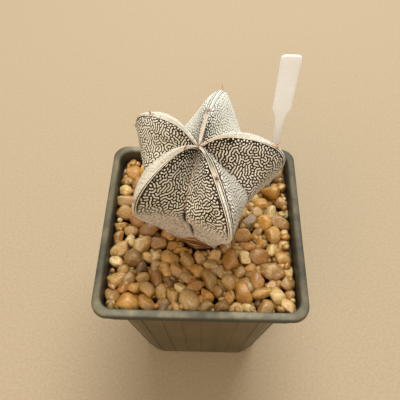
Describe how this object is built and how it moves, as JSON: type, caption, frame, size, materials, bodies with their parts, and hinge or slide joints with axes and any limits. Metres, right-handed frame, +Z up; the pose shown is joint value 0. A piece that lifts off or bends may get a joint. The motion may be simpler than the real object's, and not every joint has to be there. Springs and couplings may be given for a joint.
{
  "type": "potted star cactus",
  "caption": "Small ribbed star cactus with a labyrinth-flecked skin, in a square plastic nursery pot with potting soil, a pebble top dressing and a blank stick-in label.",
  "frame": {"origin": "centre of the pot's base, on the surface it stands on", "axes": "+Z up, -Y towards the side seen in front, +X to its right"},
  "size_m": [0.07, 0.07, 0.1278],
  "materials": {
    "pot_plastic": "matte",
    "soil": "matte",
    "gravel": "matte",
    "cactus_skin": "matte",
    "label_plastic": "satin"
  },
  "bodies": {
    "root": {"pot": "pot_plastic", "potting_soil": "soil", "gravel": "gravel", "cactus": "cactus_skin", "plant_label": "label_plastic"}
  },
  "joints": []
}
